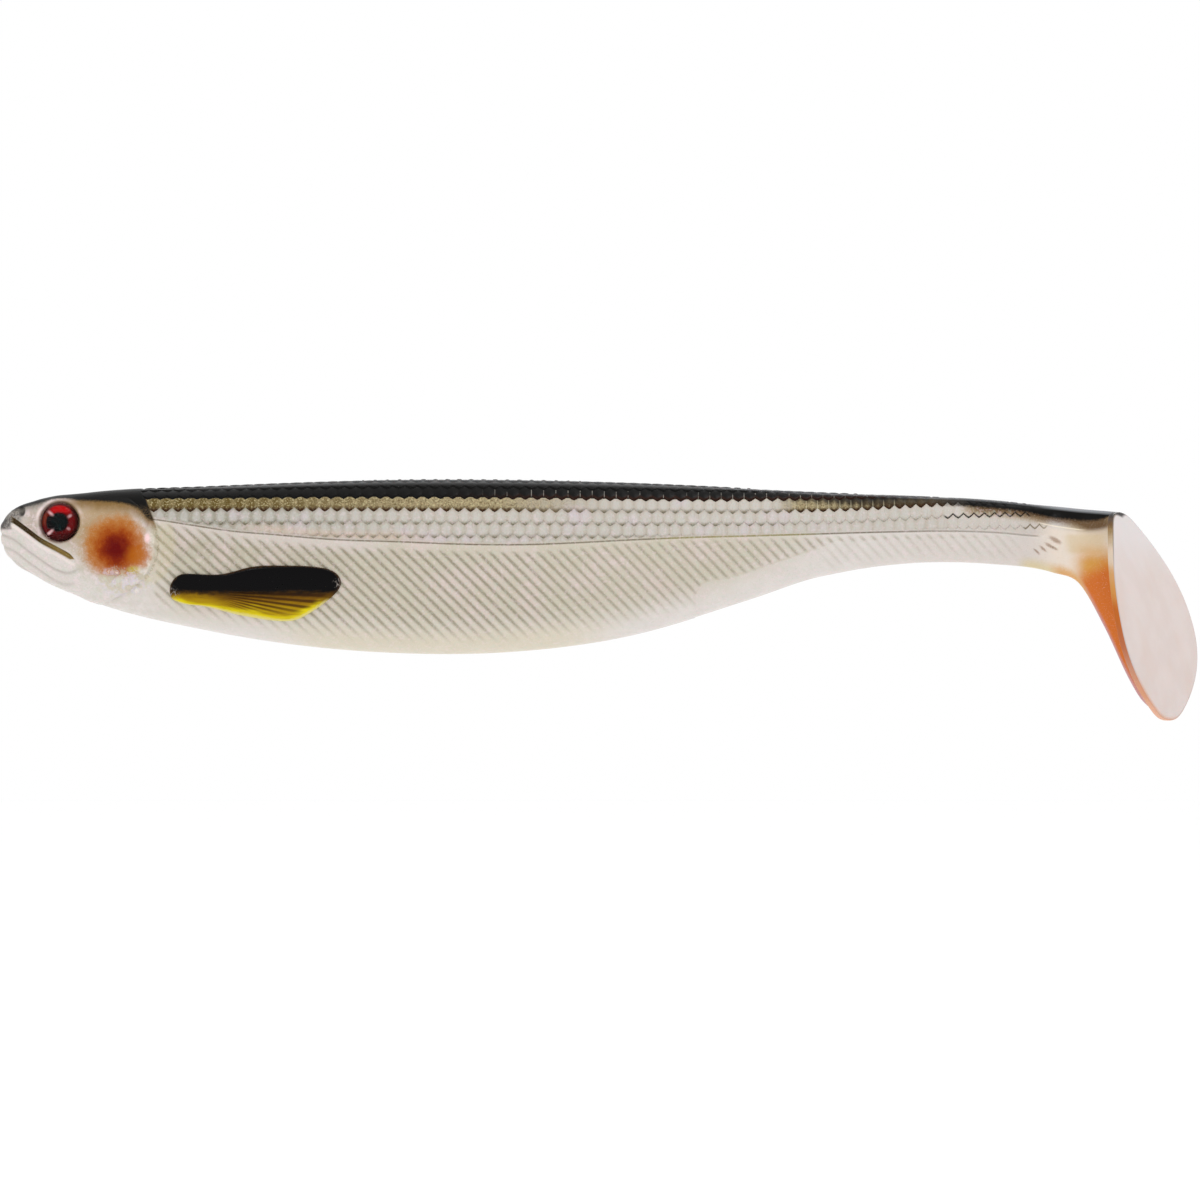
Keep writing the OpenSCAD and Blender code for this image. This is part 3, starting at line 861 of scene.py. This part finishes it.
def make_paddle(material):
    """The paddle: two faces, the rear one slightly hollow, and a rim, set as the tail is."""
    around, steps, rim_steps = 288, 44, 12
    turn = np.linspace(0, 2 * math.pi, 2000, endpoint=False)
    down = (1 - np.cos(turn)) / 2
    sideways = np.sign(np.sin(turn)) * paddle_half_width(down)
    outline = even_outline(np.column_stack((sideways, down * PADDLE_HEIGHT)), around)
    centre = np.array([0.0, PADDLE_MIDDLE * PADDLE_HEIGHT])
    half = PADDLE_THICKNESS / 2
    rim_half = half * RIM_THICKNESS
    # Each ring: share of the way to the rim, height out of the middle, distance beyond the rim's start,
    # and how far it faces to the rear, from 1 to -1.
    shares = np.linspace(0, 1, steps + 1) ** 0.8
    swell = rim_half + (half - rim_half) * np.sqrt(np.clip(1 - shares ** 8, 0, 1))
    hollow = PADDLE_HOLLOW * (1 - shares ** 2) ** 2
    rings = [(share, out - dish, 0.0, 1.0) for share, out, dish in zip(shares, swell, hollow)]
    for a in np.linspace(0, math.pi, rim_steps + 1)[1:-1]:
        corner = math.copysign(abs(math.cos(a)) ** RIM_ROUND, math.cos(a))
        rings.append((1.0, rim_half * corner, PADDLE_RIM * math.sin(a) ** RIM_ROUND, math.cos(a)))
    rings += [(share, -out, 0.0, -1.0) for share, out in zip(shares[::-1], swell[::-1])]
    spread = outline - centre
    length = np.linalg.norm(spread, axis=1, keepdims=True)
    points, places, edges = [], [], []
    for share, out, beyond, facing in rings:
        flat = centre + spread * (share * (length - PADDLE_RIM) / length + beyond / length)
        x = paddle_x(flat[:, 1] / PADDLE_HEIGHT) - half + out
        points.append(np.column_stack((x, flat[:, 0], PADDLE_TOP[1] - flat[:, 1])))
        places.append(np.column_stack((flat, np.full(around, facing))))
        edges.append((1 - share) * (length[:, 0] - PADDLE_RIM) + PADDLE_RIM - beyond)
    points = set_tail(np.array(points)).reshape(-1, 3)
    fields = {"face": np.array(places).reshape(-1, 3), "edge": np.array(edges).reshape(-1)}
    return new_piece("paddle", points, grid_faces(len(rings), around), material, fields)


# The rim's colours from the top down: where each starts to show, where it is full, and the colour.
RIM_COLORS = [(0.6, 1.4, (80, 64, 52)), (1.4, 2.3, (100, 74, 42)), (2.3, 3.4, (138, 114, 76)),
              (3.4, 5.2, (174, 154, 126)), (5.2, 7.2, (198, 180, 160)), (8.6, 11.6, (188, 142, 90)),
              (11.6, 14.4, (188, 130, 64)), (14.4, 18.0, (176, 94, 30)), (19.0, 23.6, (170, 98, 60)),
              (23.6, 29.0, (180, 128, 104)), (33.0, 36.0, (202, 166, 150))]


def paddle_material():
    paint = Paint("pearl_paddle", (206, 192, 187), 0.36, Specular_IOR_Level=0.15, Coat_Weight=0.02,
                  Coat_Roughness=0.12, Subsurface_Weight=0.08, Subsurface_Scale=0.0015)
    lay = paint.layer
    across, down, facing = paint.place("face")
    edge = paint.number("edge")
    grain = paint.noise(2.6, 3)
    cloud = paint.noise(0.16, 3)
    tone = paint.noise(0.1, 2, stretch=(1.6, 1, 1))
    speck = paint.noise(6, 1)
    lay((211, 199, 195), ease(cloud, 0.4, 0.65) * 0.6)
    lay((206, 184, 174), ease(tone, 0.5, 0.7) * 0.35)
    lay((209, 205, 206), ease(down, 14, 3) * 0.6)
    lay((190, 176, 166), ease(speck, 0.42, 0.2) * 0.3)
    lay((176, 165, 164), ease(edge, 0.6, 0.3) * 0.6)
    # Painted shade: a dark line along the upper part of one edge, in place of a shadowed crevice.
    lay((110, 96, 72), ease(edge, 0.45, 0.3) * ease(down, 11, 6) * ease(across, 0.5, -0.5) * 0.7)
    rim = within(facing, -0.9, 0.9, 0.09)
    below = down + (grain - 0.5) * 1.5
    lay((12, 10, 10), rim)
    for start, end, color in RIM_COLORS:
        lay(color, rim * ease(below, start, end))
    lay((214, 152, 112), ease(edge, 0.9, 0.3) * ease(down, 27, 33) * ease(across, 6, -2) * 0.5)
    keel = ease(size(across), 4.5, 0.8) * ease(facing, -0.5, -0.9) * ease(down, 5, 12)
    lay((196, 112, 54), keel * (cloud * 0.4 + 0.65))
    lay((34, 30, 27), ease(down + size(across) * 0.25, 1.3, 0.6))
    paint.bump(grain * 0.014 + cloud * 0.04)
    paint.set("Roughness", 0.3 + grain * 0.12)
    return paint.done()


# ---- pectoral fins ----
FIN = [(31.2, -10), (32.2, -8.4), (34.1, -7.7), (40.4, -7.8), (46.4, -6.4), (51.9, -6.2), (57.4, -6.4),
       (61, -7.2), (62.5, -9.1), (61.2, -11.6), (55.9, -15.4), (51.9, -16.4), (44.5, -15.4), (38, -13.8),
       (33.6, -13.2), (31.4, -12.1)]
FIN_MIDDLE = (47.0, -11.2)
FIN_RELIEF = 0.7
FIN_SUNK = 0.6              # how far its back lies inside the casting
FIN_EDGE = 0.8              # width over which its edge rounds off
FIN_TUCK = 0.1              # how far its outline lies under the skin
RAY_RELIEF = 0.07
FIN_ROOT = (36.0, -11.0)    # the point that the fin's rays fan out from
RAY_COUNT = 112             # rays in a full turn


def closed_curve(points, steps):
    """A smooth closed curve through points."""
    p = np.array(points, float)
    before, after, beyond = np.roll(p, 1, 0), np.roll(p, -1, 0), np.roll(p, -2, 0)
    t = np.linspace(0, 1, steps, endpoint=False)[:, None, None]
    return hermite(t, p, after, (after - before) / 2, (beyond - p) / 2).transpose(1, 0, 2).reshape(-1, 2)


def flank_y(x, z):
    """The smooth casting's distance from its middle plane."""
    back, belly, half = (smooth_line(line, x) for line in (BACK, BELLY, HALF))
    middle = back - WIDEST_HEIGHT * (back - belly)
    span = np.where(z > middle, back - middle, middle - belly)
    share = np.clip(np.abs(z - middle) / span, 0, 1)
    return half * (1 - share ** SECTION_POWER) ** (1 / SECTION_POWER)


def make_fin(name, side, material):
    """A raised pectoral fin with a round edge and fanned rays, closed behind inside the casting."""
    around, steps, edge_steps = 280, 40, 8
    outline = even_outline(closed_curve(FIN, 12), around)
    spread = outline - FIN_MIDDLE
    finer = np.sin(np.linspace(0, math.pi / 2, edge_steps + 1)[1:])
    shares = np.concatenate((np.linspace(0.0, 0.9, steps), 0.9 + 0.1 * finer))
    points, flats = [], []
    for share in shares:
        flat = FIN_MIDDLE + spread * share
        x, z = flat.T
        edge = np.linalg.norm(spread, axis=1) * (1 - share)
        swell = np.sqrt(np.clip(1 - (1 - np.clip(edge / FIN_EDGE, 0, 1)) ** 2, 0, 1))
        angle = np.arctan2(FIN_ROOT[1] - z, x - FIN_ROOT[0])
        far = np.hypot(x - FIN_ROOT[0], z - FIN_ROOT[1])
        rays = np.cos(angle * RAY_COUNT) * ease(far, 2, 8) * within(angle, 0.0, 0.62, 0.06)
        height = FIN_RELIEF * swell + RAY_RELIEF * rays * swell - FIN_TUCK * (1 - swell)
        points.append(np.column_stack((x, side * (flank_y(x, z) + height), z)))
        flats.append(np.column_stack((x, z, edge)))
    for x, z in (outline.T, (FIN_MIDDLE + spread * 0.02).T):
        points.append(np.column_stack((x, side * (flank_y(x, z) - FIN_SUNK), z)))
    flats += [flats[-1], flats[0]]
    faces = grid_faces(len(points), around)
    points = np.array(points).reshape(-1, 3)
    return new_piece(name, points, faces, material, {"flat": np.array(flats).reshape(-1, 3)})


def fin_material():
    paint = Paint("fin_paint", (158, 126, 8), 0.26, Specular_IOR_Level=0.05, Coat_Weight=0.03,
                  Coat_Roughness=0.08)
    lay = paint.layer
    x, z, edge = paint.place("flat")
    grain = paint.noise(2.2, 3)
    streak = paint.noise(0.5, 2, stretch=(0.35, 3.2, 1))
    dx, dz = x - FIN_ROOT[0], FIN_ROOT[1] - z
    slope = dz / high(dx, 0.5)
    lay((206, 188, 20), ease(edge + (streak - 0.5) * 2.5, 2.4, 0.5) * ease(z, -11.5, -12.6))
    down = z + (streak - 0.5) * 1.2 + (grain - 0.5) * 0.5
    lay((112, 72, 8), ease(down - ease(x, 44, 36) * 1.5, -14.2, -12.2) * 0.85)
    ray = ease(size(frac(slope * RAY_COUNT / (2 * math.pi)) - 0.5), 0.36, 0.12)
    ray = ray * ease(dx, 3.0, 10.0) * within(slope, -0.03, 0.42, 0.04) * ease(edge, 0.6, 2.2)
    lay((58, 30, 3), ray * ease(z, -16.2, -13.4) * 0.85)
    lay((38, 18, 2), ease(down - ease(x, 42, 36) * 0.6, -12.9, -11.0) * 0.85)
    lay((5, 4, 5), ease(down, -11.7, -10.5))
    # Painted highlights: pale mottled glints at the fin's two ends.
    ends = high(ease(reach(x, z, (31.8, -11.3)), 1.6, 0.4), ease(reach(x, z, (62.0, -9.4)), 1.3, 0.3))
    lay((168, 158, 150), ends * ease(grain, 0.5, 0.7) * 0.7)
    lay((204, 196, 138), ease(edge + (grain - 0.5) * 0.6, 0.8, 0.15) * ease(z, -12.0, -13.0) * 0.7)
    lay((66, 44, 24), ease(edge + (grain - 0.5) * 0.8, 0.45, 0.1) * ease(z, -11.5, -10.5) * 0.7)
    paint.bump(ray * -0.05 + grain * 0.03)
    paint.set("Roughness", 0.2 + grain * 0.16)
    return paint.done()


# ---- eyes ----
EYE_X, EYE_Z = 10.75, 1.7
EYE_TOE_IN = math.radians(10)
EYE_LOOK_UP = math.radians(8)
FOIL_THICKNESS = 0.3
DOME_HEIGHT = 1.9
EYE_SUNK = 1.4          # how far the foil's back lies inside the widest part of the head


def on_cheek(local, side):
    """Puts points of an eye, drawn along +Z, on the cheek, with the foil's back at its CAD place."""
    half = smooth_line(HALF, EYE_X)
    x, y, z = local[..., 0], local[..., 1], local[..., 2]
    c, s = math.cos(-EYE_TOE_IN), math.sin(-EYE_TOE_IN)
    x, z = x * c + z * s, -x * s + z * c
    a = side * (EYE_LOOK_UP - math.pi / 2)
    y, z = y * math.cos(a) - z * math.sin(a), y * math.sin(a) + z * math.cos(a)
    return np.stack((x + EYE_X, y + side * (half - EYE_SUNK), z + EYE_Z), -1)


def turned_piece(name, profile, side, material):
    """A round piece of the eye, turned from a profile of radius and height."""
    around = 96
    turn = np.linspace(0, 2 * math.pi, around, endpoint=False)
    local = np.array([np.column_stack((r * np.cos(turn), r * np.sin(turn), np.full(around, h)))
                      for r, h in profile])
    flip = local.copy()
    if side == RIGHT:
        flip[..., 1] *= -1  # so that up on the print is up on the fish, on both sides
    return new_piece(name, on_cheek(local, side).reshape(-1, 3), grid_faces(len(profile), around), material,
                     {"print": flip.reshape(-1, 3)})


def make_eye(side, foil_material, dome_material):
    """The printed disc, and the clear dome that is moulded round it without a gap."""
    label = "left" if side == LEFT else "right"
    hole, bevel, inset, skirt = 0.01, 0.04, 0.05, 0.02
    edge = EYE_RADIUS - inset
    disc = [(r, FOIL_THICKNESS) for r in np.linspace(hole, edge - bevel, 40)]
    disc += [(edge, FOIL_THICKNESS - bevel), (edge, 0.0), (hole, 0.0)]
    foil = turned_piece(f"{label}_eye_print", disc, side, foil_material)
    ball = (EYE_RADIUS ** 2 + DOME_HEIGHT ** 2) / (2 * DOME_HEIGHT)
    angle = np.linspace(0.002, math.asin(EYE_RADIUS / ball), 32)
    cap = [(ball * math.sin(a), FOIL_THICKNESS + DOME_HEIGHT - ball * (1 - math.cos(a))) for a in angle]
    cap += [(EYE_RADIUS, FOIL_THICKNESS / 2), (EYE_RADIUS - skirt, -skirt), (hole, -skirt)]
    dome = turned_piece(f"{label}_eye_lens", cap, side, dome_material)
    return foil, dome


# Glints painted on the print as painted reflections: place across and up, half length, slope, brightness.
PAINTED_EYE_GLINTS = [(-1.5, 1.6, 0.85, -0.85, 0.75), (1.95, 1.05, 0.6, 0.7, 0.6), (-1.45, -1.65, 0.8, 0.8, 0.85),
            (-1.8, -1.95, 0.5, 0.5, 1.0), (1.75, -1.2, 0.5, -0.75, 0.4)]


def foil_material():
    """A red iris on dark foil, with a black pupil and painted glints of reflected light."""
    paint = Paint("eye_print", (100, 5, 8), 0.3, Specular_IOR_Level=0.05)
    lay = paint.layer
    across, up, _ = paint.place("print")
    r = root(across * across + up * up)
    grain = paint.noise(3, 2)
    lay((184, 8, 12), ease(up, 1.05, 2.2) * ease(size(across - 0.3), 2.7, 1.1))
    lay((128, 44, 16), ease(across, -1.6, -2.4) * within(up, 0.0, 1.4, 0.8) * 0.7)
    lay((14, 2, 3), ease(r + (grain - 0.5) * 0.6, 1.95, 1.5))
    lay((14, 4, 6), ease(across, 0.2, -0.8) * ease(r, 2.5, 2.1) * ease(size(up), 1.5, 0.9))
    lay((2, 2, 3), ease(r, 1.6, 1.35))
    lay((14, 52, 50), ease(grain, 0.52, 0.66) * ease(r, 1.6, 1.1) * 0.6)
    lay((40, 4, 4), ease(up, -1.4, -2.4) * ease(r, 1.5, 2.0) * 0.7)
    lay((54, 18, 16), ease(r, 2.8, 3.2) * 0.9)
    for x, y, length, tilt, bright in PAINTED_EYE_GLINTS:
        turn = 1 / math.hypot(1, tilt)
        lengthwise = (across - x) * turn + (up - y) * (tilt * turn)
        sideways = (up - y) * turn - (across - x) * (tilt * turn)
        # Each of these is a painted reflection.
        ray = ease(size(lengthwise), length * 1.15, 0.0) * ease(size(sideways), 0.42, 0.0)
        lay((240, 196, 198), ray * bright)
    paint.bump(grain * 0.02)
    return paint.done()


# ---- stage ----
def pale_floor():
    mesh = bpy.data.meshes.new("floor")
    across, drop = 3.0, -0.14
    corners = [(x * across, y * across, drop) for x, y in ((-1, -1), (1, -1), (1, 1), (-1, 1))]
    mesh.from_pydata(corners, [], [(0, 1, 2, 3)])
    mesh.materials.append(Paint("pale_floor", (255, 255, 255), 0.9).done())
    add("floor", mesh)


def soft_light(name, place, aim, across, power):
    """A square soft box that faces aim."""
    light = bpy.data.lights.new(name, "AREA")
    light.shape = "SQUARE"
    light.size = across
    light.energy = power
    lamp = add(name, light)
    lamp.location = place
    lamp.rotation_euler = (aim - lamp.location).to_track_quat("-Z", "Y").to_euler()
    lamp.visible_camera = False


def studio(centre):
    world = bpy.data.worlds.new("studio")
    world.use_nodes = True
    background = world.node_tree.nodes["Background"]
    background.inputs["Color"].default_value = (1, 1, 1, 1)
    background.inputs["Strength"].default_value = 1.0
    bpy.context.scene.world = world
    soft_light("key", centre + Vector((-0.3, -0.75, 0.7)), centre, 0.12, 1.4)
    soft_light("top", centre + Vector((0.25, -0.1, 0.9)), centre, 0.2, 1.4)
    soft_light("back", centre + Vector((0.3, 0.75, 0.6)), centre, 0.12, 1.2)


def camera(centre):
    """Looks level along +Y at the fish's left side, from far enough for a flat view."""
    distance = 1.227
    data = bpy.data.cameras.new("camera")
    data.lens = 200
    data.sensor_width = 36
    data.clip_end = 20
    view = add("camera", data)
    view.location = centre + Vector((0, -distance, 0))
    view.rotation_euler = (math.pi / 2, 0, 0)
    bpy.context.scene.camera = view


middle = Vector((0.10985, 0, -0.0125))  # what the camera and the lights aim at
camera(middle)
studio(middle)
pale_floor()
bpy.context.scene.view_settings.view_transform = "Standard"

skin = make_skin(skin_material())
for key, nodes in (("head_skin", ["head"]), ("front_skin", ["front_trunk"]), ("middle_skin", ["mid_trunk"]),
                   ("rear_skin", ["rear_trunk"]), ("tail_skin", ["tail_stem", "tail_web"])):
    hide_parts(*nodes)
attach(skin["head_skin"], "front")


def bend(piece, joint, length):
    """Bakes a piece of skin's placement into its mesh; the bend zone about the joint is worked out but not
    used.
    """
    x = JOINT_X[joint]
    (x - length / 2) * MM
    (x + length / 2) * MM
    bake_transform(piece)


bend(skin["front_skin"], "front_flex", 30)
bend(skin["middle_skin"], "rear_flex", 30)
bend(skin["rear_skin"], "stem_flex", 26)
bend(skin["tail_skin"], "tail_kick", 12)

paddle = make_paddle(paddle_material())
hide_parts("tail_paddle")
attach(paddle, "tail")

fin_paint = fin_material()
foil_print = foil_material()
lens = Paint("eye_lens", (255, 255, 255), 0.02, Transmission_Weight=1.0, IOR=1.16).done()
for label, side in (("left", LEFT), ("right", RIGHT)):
    fin = make_fin(f"{label}_fin", side, fin_paint)
    foil, dome = make_eye(side, foil_print, lens)
    for piece, node, slot in ((fin, "pectoral_fin", "fin_paint"), (foil, "eye_foil", "eye_foil"),
                              (dome, "eye_dome", "eye_dome")):
        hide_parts(f"{label}_{node}")
        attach(piece, "front")
